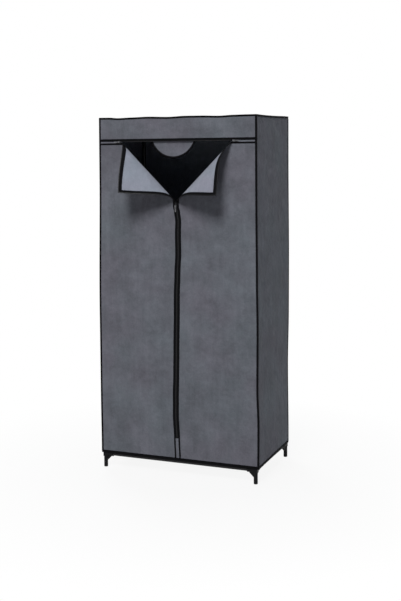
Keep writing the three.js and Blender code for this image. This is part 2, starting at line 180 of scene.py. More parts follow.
# Curl of the folded corners. Laid flat, a corner closes the doorway. From there each point turns
# back about the fold, by its share of the closing angle in degrees. The share is a smooth step of
# a value that is "hold" at the middle of the fold and changes by "away", "out" and "along" for
# each metre over the door, out from it and down the fold. Drawn in is how much of its reach the
# tip loses.
CORNERS = {
    "left": {"side": -1, "angle": 142, "hold": 0.442, "away": -0.43, "out": 3.98, "along": -0.10,
             "drawn_in": 0.068},
    "right": {"side": 1, "angle": 143, "hold": 0.617, "away": 1.65, "out": 0.70, "along": -0.02,
              "drawn_in": 0.044},
}
CURL_STEPS = 60
CURL_ROUNDS = 40
CURL_PACE = 0.35
CORNER_CELLS = 40
CORNER_RIPPLE = 0.0012
CORNER_RIPPLE_RUN = 0.09
CORNER_COIL_HEIGHT = 1.6 * COIL_HEIGHT


# Smooth values

def smooth(value, low, high):
    share = min(max((value - low) / (high - low), 0.0), 1.0)
    return share * share * (3 - 2 * share)


def wave(*place):
    return noise.noise(Vector(place))


def follow(stops, place):
    """A value that runs smoothly through the stops, which are pairs of a place and a value."""
    if place <= stops[0][0]:
        return stops[0][1]
    for (low, before), (high, after) in zip(stops, stops[1:]):
        if place <= high:
            return before + (after - before) * smooth(place, low, high)
    return stops[-1][1]


def zip_drift(height):
    return follow(ZIP_DRIFT, height)


# The cover as four walls. Each runs from one corner to the next, seen from outside left to right.

WALLS = {
    "front": {"from": (-1, -1), "to": (1, -1), "normal": Vector((0, -1, 0)), "seed": 3.1},
    "right": {"from": (1, -1), "to": (1, 1), "normal": Vector((1, 0, 0)), "seed": 11.7},
    "back": {"from": (1, 1), "to": (-1, 1), "normal": Vector((0, 1, 0)), "seed": 23.9},
    "left": {"from": (-1, 1), "to": (-1, -1), "normal": Vector((-1, 0, 0)), "seed": 37.3},
}


def corner_at(side_x, side_y, height):
    """A vertical edge of the cover. It wavers outward a little between its ends, but in front it
    keeps to the plane in which the zips' sliders run."""
    hold = math.sin(math.pi * smooth(height, COVER_BOTTOM, COVER_TOP))
    up = height * EDGE_WAVES
    sway_x = EDGE_WAVER * hold * (0.5 + 0.5 * wave(side_x * 5.3, side_y * 2.1, up))
    sway_y = EDGE_WAVER * hold * (0.5 + 0.5 * wave(side_x * 1.7, side_y * 7.9, up))
    x = side_x * (HALF_WIDTH + sway_x) + follow(EDGE_DRIFT[side_x, side_y], height)
    y = FRONT if side_y < 0 else BACK + sway_y
    return Vector((x, y, height))


def wall_length(wall):
    return 2 * HALF_WIDTH if WALLS[wall]["normal"].y else BACK - FRONT


def ring_sag(wall, along):
    """How far the roof's edge hangs below its level. The frame's connectors hold the corners up."""
    if wall == "front":
        return follow(FRONT_SAG, along)
    share = min(max(along / wall_length(wall), 0), 1)
    hold = math.sin(math.pi * share) ** 2
    return EDGE_SAG * hold * (0.55 + 0.45 * wave(along * 5, WALLS[wall]["seed"], 0.5))


def relief(wall, along, height):
    """How far the cloth stands out from the flat wall. It lies calm near its seams and beside the
    door's zip. It stands in by hardly anything over the frame's connectors, and little past them."""
    length = wall_length(wall)
    seed = WALLS[wall]["seed"]
    edge = min(along, length - along)
    above_hem = height - COVER_BOTTOM
    top = ZIP_BOTTOM if wall == "front" else COVER_TOP
    calm = smooth(edge, 0, CALM_BESIDE_SEAMS) * smooth(above_hem, 0, CALM_AT_ENDS)
    calm *= smooth(top - height, 0, CALM_AT_ENDS)
    if wall == "front":
        beside = abs(along - length / 2)
        calm *= ZIP_CALM + (1 - ZIP_CALM) * smooth(beside, ZIP_CALM_NEAR, ZIP_CALM_FAR)
    swell = WALL_SWELL * math.sin(math.pi * min(max(along / length, 0), 1)) ** 2
    waves = SOFT_WAVES * wave(along * 3.1, height * 1.7, seed)
    waves += 0.5 * SOFT_WAVES * wave(along * 6.5, height * 3.6, seed + 4)
    streaks = STREAKS * wave(along * 24, height * 1.6, seed + 9)
    creases = 0.6 * STREAKS * wave(along * 13 + height * 9, height * 15 - along * 6, seed + 15)
    seam = min(edge, above_hem + HEM_PUCKER_START, COVER_TOP - height)
    run = height if edge < PUCKER_REACH else along
    pucker = PUCKER * (1 - smooth(seam, 0, PUCKER_REACH)) * wave(run / PUCKER_PITCH, seed, 2.0)
    inmost = -INMOST - INWARD_SLOPE * max(edge - CONNECTOR_REACH, 0)
    return max(calm * (swell + waves + streaks + creases), inmost) + pucker


def wall_point(wall, along, height, lift=0.0):
    """A point of a wall's cloth, or lifted off it. Near the top it follows the roof's edge."""
    facts = WALLS[wall]
    share = along / wall_length(wall)
    start = corner_at(*facts["from"], height)
    end = corner_at(*facts["to"], height)
    point = start.lerp(end, share) + facts["normal"] * (relief(wall, along, height) + lift)
    backward = (point.y - FRONT) / (BACK - FRONT)
    rise = BACK_PEAK * smooth(backward, 0, 1) - ring_sag(wall, along)
    point.z += rise * smooth(height, COVER_TOP - PEAK_RUN, COVER_TOP)
    return point


def front_surface(x, z):
    """The front wall by its place across the middle and its height."""
    return wall_point("front", x + HALF_WIDTH, z)


# Meshes

def new_object(name, vertices, faces, material, smooth_faces=True):
    mesh = bpy.data.meshes.new(name)
    mesh.from_pydata([tuple(v) for v in vertices], [], faces)
    mesh.validate()
    piece = bpy.data.objects.new(name, mesh)
    bpy.context.scene.collection.objects.link(piece)
    mesh.materials.append(material)
    if smooth_faces:
        mesh.shade_smooth()
    return piece


def bake_modifiers(piece):
    depsgraph = bpy.context.evaluated_depsgraph_get()
    mesh = bpy.data.meshes.new_from_object(piece.evaluated_get(depsgraph))
    piece.modifiers.clear()
    piece.data = mesh


def cloth_sheet(name, place, columns, rows, outside, inside, inward=1):
    """A closed sheet of cloth. place gives the point of its outer face at two shares."""
    grid = []
    for row in range(rows + 1):
        grid += [place(column / columns, row / rows) for column in range(columns + 1)]
    width = columns + 1
    faces = []
    for row in range(rows):
        for column in range(columns):
            a = row * width + column
            face = [a, a + 1, a + width + 1, a + width]
            faces.append(face if inward > 0 else face[::-1])
    piece = new_object(name, grid, faces, outside)
    piece.data.materials.append(inside)
    thicken = piece.modifiers.new("thickness", "SOLIDIFY")
    thicken.thickness = CLOTH
    thicken.offset = -1
    thicken.use_even_offset = False
    thicken.material_offset = 1
    bake_modifiers(piece)
    return piece


def strip_profile(width, height):
    """A folded tape seen from its end: crowned, with rounded edges and a dip along each seam. Its
    lower face sinks a little into what it is sewn to."""
    half = width / 2
    sink = 0.0003
    shares = [(-1, 0.45), (-0.93, 0.85), (-0.72, 1.0), (-0.56, 0.82), (-0.4, 1.0),
              (0.4, 1.0), (0.56, 0.82), (0.72, 1.0), (0.93, 0.85), (1, 0.45)]
    return [(half * a, height * b) for a, b in shares] + [(half, -sink), (-half, -sink)]


def flat_profile(width, height):
    half = width / 2
    sink = 0.0002
    return [(-half, height), (half, height), (half, -sink), (-half, -sink)]


def round_profile(width, height):
    """Half of a round coil, lying on its tape."""
    points = []
    steps = 6
    for step in range(steps + 1):
        angle = math.pi * (1 - step / steps)
        points.append((math.cos(angle) * width / 2, math.sin(angle) * height))
    return points


def wrap_profile(width, height):
    """A binding folded round an edge, with the same shape on both faces."""
    half = width / 2
    shares = [(-1, 0.35), (-0.9, 0.9), (-0.6, 1.0), (0.6, 1.0), (0.9, 0.9), (1, 0.4)]
    over = [(half * a, height / 2 * b) for a, b in shares]
    under = [(a, -b) for a, b in reversed(over)]
    return over + under


def line(start, end, step):
    """Evenly spaced points from start to end on a surface's own two directions."""
    start, end = Vector(start), Vector(end)
    count = max(1, round((end - start).length / step))
    return [start.lerp(end, i / count) for i in range(count + 1)]


def strip_rings(surface, path, profile, lift=0.0, teeth=0.0, slant=0.0):
    """Rings of points for a strip that follows a surface: path is on the surface's own two
    directions, and the profile is across the path and away from the surface. Teeth are every
    second ring drawn in, and slant cuts the last end at an angle, in length per width."""
    tangent = 0.0006
    rings = []
    for index, place in enumerate(path):
        before = path[max(index - 1, 0)]
        after = path[min(index + 1, len(path) - 1)]
        way = (after - before).normalized()
        across = Vector((-way.y, way.x))
        drawn_in = teeth * (index % 2)
        ring = []
        for a, b in profile:
            cut = slant * a if index == len(path) - 1 else 0.0
            u, v = place + across * (a * (1 - TEETH_NARROWING * drawn_in)) + way * cut
            base = surface(u, v)
            along_u = surface(u + tangent, v) - base
            along_v = surface(u, v + tangent) - base
            normal = along_u.cross(along_v).normalized()
            ring.append(base + normal * (lift + b * (1 - drawn_in)))
        rings.append(ring)
    return rings


def ring_mesh(rings):
    """Points, faces and the length along the strip at each ring, for a closed profile."""
    count = len(rings[0])
    vertices = [point for ring in rings for point in ring]
    faces = []
    for row in range(len(rings) - 1):
        for column in range(count):
            a = row * count + column
            b = row * count + (column + 1) % count
            faces.append([a, b, b + count, a + count])
    faces.append(list(range(count))[::-1])
    faces.append([(len(rings) - 1) * count + i for i in range(count)])
    along = [0.0]
    for before, after in zip(rings, rings[1:]):
        along.append(along[-1] + (after[0] - before[0]).length)
    return vertices, faces, along


def strips(name, parts, material):
    """One object from several strips. Its UV map holds the distance along a strip in metres, and
    the share of the way round its profile."""
    sharp_edge = 55
    vertices, faces, coordinates = [], [], []
    for rings in parts:
        points, part_faces, along = ring_mesh(rings)
        count = len(rings[0])
        start = len(vertices)
        vertices += points
        faces += [[start + i for i in face] for face in part_faces]
        coordinates += [(along[i // count], (i % count) / count) for i in range(len(points))]
    piece = new_object(name, vertices, faces, material)
    layer = piece.data.uv_layers.new(name="strip")
    for loop in piece.data.loops:
        layer.data[loop.index].uv = coordinates[loop.vertex_index]
    piece.data.set_sharp_from_angle(angle=math.radians(sharp_edge))
    return piece


# Materials

def sRGB(red, green, blue):
    """A colour as it looks in a picture, 0 to 255, for a shader."""
    def linear(value):
        value /= 255
        return value / 12.92 if value <= 0.04045 else ((value + 0.055) / 1.055) ** 2.4
    return (linear(red), linear(green), linear(blue), 1.0)


class Nodes:
    """A material with a Principled shader, and short calls that add nodes to it."""

    def __init__(self, name, color, roughness, specular=0.5, metallic=0.0):
        self.material = bpy.data.materials.new(name)
        self.material.use_nodes = True
        self.tree = self.material.node_tree
        self.shader = self.tree.nodes["Principled BSDF"]
        self.shader.inputs["Base Color"].default_value = color
        self.shader.inputs["Roughness"].default_value = roughness
        self.shader.inputs["Specular IOR Level"].default_value = specular
        self.shader.inputs["Metallic"].default_value = metallic
        self.relief = None

    def add(self, kind, inputs=None, **settings):
        node = self.tree.nodes.new(kind)
        for key, value in settings.items():
            setattr(node, key, value)
        for key, value in (inputs or {}).items():
            if isinstance(value, bpy.types.NodeSocket):
                self.tree.links.new(value, node.inputs[key])
            else:
                node.inputs[key].default_value = value
        return node

    def place(self, stretch=(1, 1, 1)):
        """The object's own coordinates in metres, stretched."""
        where = self.add("ShaderNodeTexCoord").outputs["Object"]
        return self.add("ShaderNodeMapping", {"Vector": where, "Scale": stretch}).outputs["Vector"]

    def strip_place(self):
        """The distance along a strip in metres, and the share of the way round its profile."""
        strip_map = self.add("ShaderNodeUVMap", uv_map="strip")
        split = self.add("ShaderNodeSeparateXYZ", {"Vector": strip_map.outputs["UV"]})
        return split.outputs["X"], split.outputs["Y"]

    def noise(self, where, scale, detail=3.0, rough=0.55):
        """Noise at this scale, with a count of finer layers and how strong each is next to the
        one before."""
        inputs = {"Vector": where, "Scale": scale, "Detail": detail, "Roughness": rough}
        return self.add("ShaderNodeTexNoise", inputs).outputs["Fac"]

    def math(self, operation, a, b=0.0):
        return self.add("ShaderNodeMath", {0: a, 1: b}, operation=operation).outputs[0]

    def waves(self, value, pitch):
        """From -1 to 1 and back for each pitch in metres."""
        return self.math("SINE", self.math("MULTIPLY", value, 2 * math.pi / pitch))

    def stretch(self, value, low, high, to_low=0.0, to_high=1.0):
        """The range from low to high laid out from to_low to to_high, and held past its ends."""
        inputs = {"Value": value, "From Min": low, "From Max": high,
                  "To Min": to_low, "To Max": to_high}
        return self.add("ShaderNodeMapRange", inputs).outputs["Result"]

    def mix(self, factor, a, b, blend="MIX"):
        node = self.add("ShaderNodeMix", data_type="RGBA", blend_type=blend)
        for socket, value in ((node.inputs[0], factor), (node.inputs[6], a), (node.inputs[7], b)):
            if isinstance(value, bpy.types.NodeSocket):
                self.tree.links.new(value, socket)
            else:
                socket.default_value = value
        return node.outputs[2]

    def bump(self, height, distance, strength):
        inputs = {"Height": height, "Distance": distance, "Strength": strength}
        if self.relief:
            inputs["Normal"] = self.relief
        self.relief = self.add("ShaderNodeBump", inputs).outputs["Normal"]
        self.tree.links.new(self.relief, self.shader.inputs["Normal"])

    def link(self, value, socket):
        self.tree.links.new(value, self.shader.inputs[socket])


def shade(color, factor):
    """A colour made lighter or darker by a factor."""
    return tuple(c * factor for c in color[:3]) + (1.0,)


# Tints between which the cloth's mottling runs
CLOTH_COOL = (0.968, 1.016, 1.006, 1.0)
CLOTH_WARM = (1.030, 0.973, 1.0, 1.0)

STITCH_PITCH = 0.0036
BINDING_RIB_PITCH = 0.0008
TAPE_RIB_PITCH = 0.0007


def spunbond(name, color, mottle=0.17):
    """Non-woven polypropylene: matted fibres, pressed together in a grid of small dots. Mottle is
    how much lighter and darker its clouds are."""
    cloth = Nodes(name, color, 0.92, specular=0.10)
    cloth.shader.inputs["Sheen Weight"].default_value = 0.12
    cloth.shader.inputs["Sheen Roughness"].default_value = 0.5
    where = cloth.place()
    clouds = cloth.stretch(cloth.noise(where, 10, 6, 0.7), 0.36, 0.64)
    mixed = cloth.mix(clouds, shade(color, 1 - mottle), shade(color, 1 + mottle))
    tint = cloth.mix(cloth.stretch(cloth.noise(where, 4.3, 3), 0.35, 0.65), CLOTH_COOL, CLOTH_WARM)
    tinted = cloth.mix(1.0, mixed, tint, "MULTIPLY")
    upright = cloth.place((1, 1, 0.12))
    streaks = cloth.stretch(cloth.noise(upright, 46, 4, 0.6), 0.3, 0.7, 0.93, 1.07)
    streaked = cloth.mix(1.0, tinted, streaks, "MULTIPLY")
    matted = cloth.place((1, 1, 0.35))
    fibres = cloth.stretch(cloth.noise(matted, 420, 5, 0.7), 0.3, 0.7, 0.88, 1.10)
    cloth.link(cloth.mix(1.0, streaked, fibres, "MULTIPLY"), "Base Color")
    cloth.link(cloth.stretch(clouds, 0, 1, 0.86, 0.96), "Roughness")
    crumple = cloth.noise(where, 19, 5, 0.5)
    cloth.bump(crumple, 0.009, 0.8)
    dots = cloth.add("ShaderNodeTexVoronoi", {"Vector": where, "Scale": 520, "Randomness": 0.15})
    pressed = cloth.stretch(dots.outputs["Distance"], 0.15, 0.45)
    cloth.bump(pressed, 0.00012, 0.5)
    cloth.bump(cloth.noise(where, 900, 4, 0.7), 0.0002, 0.35)
    return cloth.material


def binding_tape(name, color):
    """Folded black tape with a fine rib across it and a row of stitches along each edge."""
    tape = Nodes(name, color, 0.85, specular=0.07)
    along, round_about = tape.strip_place()
    stitch = tape.waves(along, STITCH_PITCH)
    quarter = tape.math("PINGPONG", round_about, 0.25)
    off_row = tape.math("ABSOLUTE", tape.stretch(quarter, 0.1, 0.2, -1, 1))
    on_row = tape.math("SUBTRACT", 1.0, off_row)
    thread = tape.math("MULTIPLY", tape.stretch(stitch, 0.0, 0.5), tape.stretch(on_row, 0.3, 0.8))
    wear = tape.stretch(tape.noise(tape.place(), 60, 4), 0.35, 0.7, 0.85, 1.5)
    worn = tape.mix(1.0, color, wear, "MULTIPLY")
    tape.link(tape.mix(thread, worn, shade(color, 2.2)), "Base Color")
    ribs = tape.waves(along, BINDING_RIB_PITCH)
    tape.bump(ribs, 0.00008, 0.5)
    tape.bump(thread, 0.0003, 0.6)
    return tape.material


def woven_tape(name, color):
    """A zip's flat woven tape."""
    tape = Nodes(name, color, 0.8, specular=0.07)
    along = tape.strip_place()[0]
    ribs = tape.waves(along, TAPE_RIB_PITCH)
    threads = tape.noise(tape.place(), 900, 3, 0.6)
    weave = tape.math("MULTIPLY", tape.stretch(ribs, -1, 1), threads)
    tape.link(tape.mix(weave, color, shade(color, 1.9)), "Base Color")
    tape.bump(weave, 0.0001, 0.6)
    return tape.material


def satin_paint(name, color):
    """Smooth black paint with a thin coat, a haze in its gloss and a little dust."""
    paint = Nodes(name, color, 0.34, specular=0.20)
    paint.shader.inputs["Coat Weight"].default_value = 0.1
    paint.shader.inputs["Coat Roughness"].default_value = 0.25
    where = paint.place()
    haze = paint.stretch(paint.noise(where, 35, 4), 0.3, 0.7, 0.28, 0.44)
    paint.link(haze, "Roughness")
    dust = paint.stretch(paint.noise(where, 12, 5), 0.45, 0.75, 0.0, 0.35)
    paint.link(paint.mix(dust, color, shade(color, 1.6)), "Base Color")
    paint.bump(paint.noise(where, 700, 3), 0.00015, 0.25)
    return paint.material


def moulded_plastic(name, color):
    """Black plastic with a fine grain and paler scuffs."""
    plastic = Nodes(name, color, 0.5, specular=0.12)
    where = plastic.place()
    plastic.link(plastic.stretch(plastic.noise(where, 50, 4), 0.3, 0.7, 0.42, 0.6), "Roughness")
    scuffs = plastic.stretch(plastic.noise(where, 28, 6, 0.65), 0.5, 0.75, 0.0, 0.5)
    plastic.link(plastic.mix(scuffs, color, shade(color, 1.8)), "Base Color")
    plastic.bump(plastic.noise(where, 1400, 2), 0.0002, 0.3)
    return plastic.material


def coil_plastic(name, color):
    """A zip's nylon coil."""
    coil = Nodes(name, color, 0.45, specular=0.25)
    glint = coil.stretch(coil.noise(coil.place(), 300, 2), 0.3, 0.7, 0.4, 0.6)
    coil.link(glint, "Roughness")
    coil.link(coil.mix(coil.noise(coil.place(), 120, 3), color, shade(color, 1.5)), "Base Color")
    return coil.material


def lacquered_metal(name, color):
    """Dark lacquered metal, worn paler along its edges."""
    worn = (0.20, 0.20, 0.21, 1)
    metal = Nodes(name, color, 0.32, metallic=0.85)
    edges = metal.stretch(metal.add("ShaderNodeNewGeometry").outputs["Pointiness"], 0.5, 0.58)
    metal.link(metal.mix(edges, color, worn), "Base Color")
    metal.link(metal.stretch(metal.noise(metal.place(), 400, 4), 0.3, 0.7, 0.24, 0.42), "Roughness")
    return metal.material


CLOTH_COLOR = sRGB(97, 99, 106)
INSIDE_COLOR = sRGB(134, 139, 150)
BLACK_TAPE = sRGB(6, 6, 8)
ZIP_BLACK = sRGB(7, 7, 9)
cover_cloth = spunbond("cover_cloth", CLOTH_COLOR)
cloth_inside = spunbond("cloth_inside", INSIDE_COLOR, 0.05)
black_binding = binding_tape("black_binding", BLACK_TAPE)
zip_tape = woven_tape("zip_tape", ZIP_BLACK)
zip_coil = coil_plastic("zip_coil", ZIP_BLACK)
painted_tube = satin_paint("painted_tube", sRGB(10, 10, 12))
connector_plastic = moulded_plastic("connector_plastic", sRGB(8, 8, 10))
zip_metal = lacquered_metal("zip_metal", sRGB(52, 54, 58))


# Frame and sliders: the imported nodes

WELD = 0.00001
BEVELLED_EDGE = 50


def dress_node(name, material, bevel):
    """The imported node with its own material. Edges sharper than BEVELLED_EDGE get the bevel."""
    node = frame["nodes"][name]
    node.data.materials.clear()
    node.data.materials.append(material)
    weld = node.modifiers.new("weld", "WELD")
    weld.merge_threshold = WELD
    if bevel:
        edges = node.modifiers.new("edges", "BEVEL")
        edges.width = bevel
        edges.segments = 2
        edges.limit_method = "ANGLE"
        edges.angle_limit = math.radians(BEVELLED_EDGE)
    normals = node.modifiers.new("normals", "WEIGHTED_NORMAL")
    normals.keep_sharp = True
    for polygon in node.data.polygons:
        polygon.use_smooth = True


def dress_frame():
    """The nodes whose slot has a look of its own here. The rest are replaced."""
    slots = {row["node"]: row["material_slot"] for row in frame["record"]["subparts"]}
    looks = {
        "painted_tube": (painted_tube, 0.0),
        "connector_plastic": (connector_plastic, 0.0006),
        "zip_metal": (zip_metal, 0.0002),
    }
    for name, slot in slots.items():
        if slot in looks:
            dress_node(name, *looks[slot])


# Cover

def declare(piece, node, body):
    """A cloth in place of a node. It rides on a body, or on none."""
    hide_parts(node)
    if body:
        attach(piece, body)


def build_panel(node, place, cells):
    """A panel of the cover in place of its plain solid. Cells are its faces across and up."""
    piece = cloth_sheet(f"cloth_{node}", place, *cells, cover_cloth, cloth_inside)
    declare(piece, node, "root")


def build_wall(wall, node):
    length = wall_length(wall)
    height = COVER_TOP - COVER_BOTTOM

    def place(across, up):
        along = PANEL_INSET + (length - 2 * PANEL_INSET) * across
        return wall_point(wall, along, COVER_BOTTOM + (height - PANEL_INSET) * up, -PANEL_SINK)

    cells = (round(length / WALL_COLUMN), round(height / WALL_ROW))
    build_panel(node, place, cells)


def build_roof():
    """The roof hangs between its four edges, and rises to the back."""
    depth = BACK - FRONT

    def place(across, deep):
        x = (HALF_WIDTH - PANEL_INSET) * (2 * across - 1)
        y = FRONT + PANEL_INSET + (depth - 2 * PANEL_INSET) * deep
        hold = math.sin(math.pi * across) * math.sin(math.pi * deep)
        sag = (1 - deep) * ring_sag("front", x + HALF_WIDTH) + deep * ring_sag("back", HALF_WIDTH - x)
        sag += (1 - across) * ring_sag("left", BACK - y) + across * ring_sag("right", y - FRONT)
        waves = ROOF_WAVES * hold * wave(x * 5, y * 5, 1.5)
        waves += ROOF_RIPPLE * hold * wave(x * 19, y * 19, 7.5)
        peak = BACK_PEAK * smooth(deep, 0, 1)
        return Vector((x, y, COVER_TOP - PANEL_SINK + peak - sag - ROOF_DIP * hold + waves))

    build_panel("roof_panel", place, (80, 50))


def build_door(name, side):
    """A door from the corner seam to its zip, cut away along the fold. The fold starts at bend,
    which is lower_share of the way up the panel's grid."""
    outer = HALF_WIDTH - PANEL_INSET
    bend = APEX + DOOR_ZIP / 2
    top = ZIP_TOP + DOOR_LAP
    lower_share = 0.86

    def place(across, up):
        if up <= lower_share:
            z = COVER_BOTTOM + (bend - COVER_BOTTOM) * up / lower_share
            inner = DOOR_ZIP / 2 + side * zip_drift(z)
        else:
            z = bend + (top - bend) * (up - lower_share) / (1 - lower_share)
            inner = min(z - APEX, FOLD_RUN)
        left = inner if side > 0 else -outer
        x = left + (outer - inner) * across
        return wall_point("front", x + HALF_WIDTH, z, -PANEL_SINK)

    build_panel(f"{name}_door_panel", place, (46, 170))


def build_valance():
    """The band above the top zip. It lies over the doors' tops, so its face is just above the
    cover's surface."""
    width = 2 * HALF_WIDTH - 2 * PANEL_INSET
    low = ZIP_TOP + PANEL_INSET
    rise = COVER_TOP - ZIP_TOP - 2 * PANEL_INSET

    def place(across, up):
        return wall_point("front", PANEL_INSET + width * across, low + rise * up, PANEL_SINK)

    build_panel("valance", place, (90, 14))


def build_zip_end():
    """The grey strip that fills the band below the end of the door's zip."""
    lap = 0.0006

    def place(across, up):
        z = COVER_BOTTOM + (DOOR_ZIP_END - COVER_BOTTOM) * up
        x = zip_drift(z) + (2 * across - 1) * (DOOR_ZIP / 2 + lap)
        return wall_point("front", x + HALF_WIDTH, z, STACK)

    build_panel("zip_end_strip", place, (4, 20))


def build_base():
    low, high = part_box("base_shelf")
    width = high.x - low.x
    depth = high.y - low.y

    def place(across, deep):
        x = low.x + width * across
        y = low.y + depth * deep
        hold = math.sin(math.pi * across) * math.sin(math.pi * deep) ** 2
        waves = SHELF_WAVES * hold * wave(x * 7, y * 7, 4.5)
        return Vector((x, y, high.z - SHELF_SAG * hold + waves))

    build_panel("base_shelf", place, (60, 44))


def piping_rings(points, first, second):
    """A bound seam along an edge of the cover, between two walls with these outward normals. Its
    profile runs over the first wall to the ridge and down the second."""
    w, ridge = PIPING, PIPING_RIDGE
    profile = [(-w, 0.0004), (-0.92 * w, 0.0009), (-0.35 * w, 0.0010), (-0.0006, ridge * 0.9),
               (0.0006, ridge), (ridge, 0.0006), (ridge * 0.9, -0.0006), (0.0010, -0.35 * w),
               (0.0009, -0.92 * w), (0.0004, -w), (-0.0006, -w), (-0.0008, -0.0008), (-w, -0.0006)]
    return [[point + second * a + first * b for a, b in profile] for point in points]


def finish_trim(piece, body, node=None):
    """A binding, tape or coil. The first of a group stands for the group's node."""
    if node:
        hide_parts(node)
    if body:
        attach(piece, body)


def build_piping():
    """The seams up the corners and round the roof, and the bound hem."""
    parts = []
    height = COVER_TOP - COVER_BOTTOM
    heights = [COVER_BOTTOM + height * row / PIPING_ROWS for row in range(PIPING_ROWS + 1)]
    hem_profile = wrap_profile(HEM, BINDING_THICKNESS + CLOTH)
    for wall, facts in WALLS.items():
        following = next(f for f in WALLS.values() if f["from"] == facts["to"])
        edge = [corner_at(*facts["to"], z) for z in heights]
        parts.append(piping_rings(edge, facts["normal"], following["normal"]))
        length = wall_length(wall)
        steps = round(length / PIPING_STEP)
        rim = [wall_point(wall, length * (1 - i / steps), COVER_TOP) for i in range(steps + 1)]
        parts.append(piping_rings(rim, facts["normal"], Vector((0, 0, 1))))
        hem = line((0, COVER_BOTTOM), (length, COVER_BOTTOM), STRIP_STEP)
        parts.append(strip_rings(partial(wall_point, wall), hem, hem_profile))
    finish_trim(strips("binding_piping", parts, black_binding), "root", "cover_piping")


def level_line(z, start, end, step=STRIP_STEP):
    """Points across the front at one height."""
    return line((start, z), (end, z), step)


def build_top_zip():
    """The valance's binding, the bindings on the doors' tops and the top zip's fixed half. On each
    side the zip is closed for a short way, and a half tape runs from there to the fold."""
    reach = HALF_WIDTH - PIPING
    tape_end = FOLD_RUN - FOLD_CLEARANCE
    door_edge = ZIP_BOTTOM - BINDING / 2
    half_row = TOP_ZIP / 4
    short_step = 0.003
    valance_bound = strip_profile(VALANCE_BINDING, BINDING_THICKNESS)
    door_bound = strip_profile(BINDING, BINDING_THICKNESS)
    half_tape = flat_profile(TOP_ZIP / 2, TAPE_THICKNESS)
    whole_tape = flat_profile(TOP_ZIP, TAPE_THICKNESS)
    coil = round_profile(COIL_WIDTH, COIL_HEIGHT)
    path = level_line(VALANCE_EDGE, -reach, reach)
    bindings = [strip_rings(front_surface, path, valance_bound, 2 * STACK)]
    path = level_line(ZIP_LINE + half_row, -tape_end, tape_end)
    tapes = [strip_rings(front_surface, path, half_tape, STACK)]
    path = level_line(ZIP_LINE + COIL_WIDTH / 2, -tape_end, tape_end, COIL_PITCH / 2)
    coils = [strip_rings(front_surface, path, coil, ON_TAPE, TEETH)]
    for side in (-1, 1):
        start = side * (FOLD_RUN + STACK)
        closed = side * (FOLD_RUN + STACK + CLOSED_ZIP)
        path = level_line(door_edge, side * reach, side * (FOLD_RUN - (ZIP_LINE - door_edge)))
        bindings.append(strip_rings(front_surface, path, door_bound, STACK, slant=side))
        path = level_line(ZIP_LINE, start, closed)
        tapes.append(strip_rings(front_surface, path, whole_tape, STACK))
        near_fold = side * (FOLD_RUN - half_row)
        path = level_line(ZIP_LINE - half_row, start + side * END_GAP, near_fold, short_step)
        tapes.append(strip_rings(front_surface, path, half_tape, OVER_TAPE, slant=side))
        for row, shift in ((-1, 0.0), (1, COIL_PITCH / 2)):
            z = ZIP_LINE + row * COIL_WIDTH / 2
            path = level_line(z, start + side * shift, closed, COIL_PITCH / 2)
            coils.append(strip_rings(front_surface, path, coil, ON_TAPE, TEETH))
    finish_trim(strips("binding_top_zip", bindings, black_binding), "root", "top_zip_band")
    finish_trim(strips("tape_top_zip", tapes, zip_tape), "root")
    finish_trim(strips("coil_top_zip", coils, zip_coil), "root")


def drifting_line(offset, low, high, step):
    """Points up the door's zip, at a distance to the right of its middle."""
    count = max(1, round((high - low) / step))
    heights = [low + (high - low) * i / count for i in range(count + 1)]
    return [Vector((zip_drift(z) + offset, z)) for z in heights]


def build_door_zip():
    """The closed zip down the middle: two bindings, the tapes and the two rows of coil. A short
    half tape on each side leads up to the fold."""
    top = APEX - APEX_GAP
    beside = (DOOR_ZIP + BINDING) / 2
    half_row = DOOR_ZIP / 4
    below_fold = 0.004
    short_step = 0.004
    bound = strip_profile(BINDING, BINDING_THICKNESS)
    whole_tape = flat_profile(DOOR_ZIP, TAPE_THICKNESS)
    half_tape = flat_profile(DOOR_ZIP / 2, TAPE_THICKNESS)
    coil = round_profile(COIL_WIDTH, COIL_HEIGHT)
    path = drifting_line(0, DOOR_ZIP_END, top, STRIP_STEP)
    tapes = [strip_rings(front_surface, path, whole_tape, STACK)]
    bindings, coils = [], []
    for side, shift in ((-1, 0.0), (1, COIL_PITCH / 2)):
        path = drifting_line(side * beside, COVER_BOTTOM, APEX + beside, STRIP_STEP)
        bindings.append(strip_rings(front_surface, path, bound, STACK, slant=-side))
        x = side * half_row
        path = line((x, APEX - below_fold), (x, APEX + half_row), short_step)
        tapes.append(strip_rings(front_surface, path, half_tape, OVER_TAPE, slant=-side))
        low = DOOR_ZIP_END + END_GAP + shift
        path = drifting_line(side * COIL_WIDTH / 2, low, top, COIL_PITCH / 2)
        coils.append(strip_rings(front_surface, path, coil, ON_TAPE, TEETH))
    finish_trim(strips("binding_door_zip", bindings, black_binding), "root", "door_zip_band")
    finish_trim(strips("tape_door_zip", tapes, zip_tape), "root")
    finish_trim(strips("coil_door_zip", coils, zip_coil), "root")


# Folded corners of the doors

def cloth_angles(facts):
    """Angles between the door and lines from the fold to the cloth, at even steps down the fold
    and away from it. The share at a point depends on where the point ends up, so it settles."""
    close = math.radians(facts["angle"])
    table = []
    for row in range(CURL_STEPS + 1):
        down = 2 * FLAP_DEPTH * row / CURL_STEPS - FLAP_DEPTH
        angle = math.pi / 2
        angles = []
        for column in range(CURL_STEPS + 1):
            reach = drawn_reach(facts, FLAP_DEPTH * column / CURL_STEPS)
            for _ in range(CURL_ROUNDS):
                value = facts["hold"] + facts["along"] * down
                value += reach * (facts["away"] * math.cos(angle) + facts["out"] * math.sin(angle))
                angle += CURL_PACE * (math.pi - close * smooth(value, 0, 1) - angle)
            angles.append(angle)
        table.append(angles)
    return table


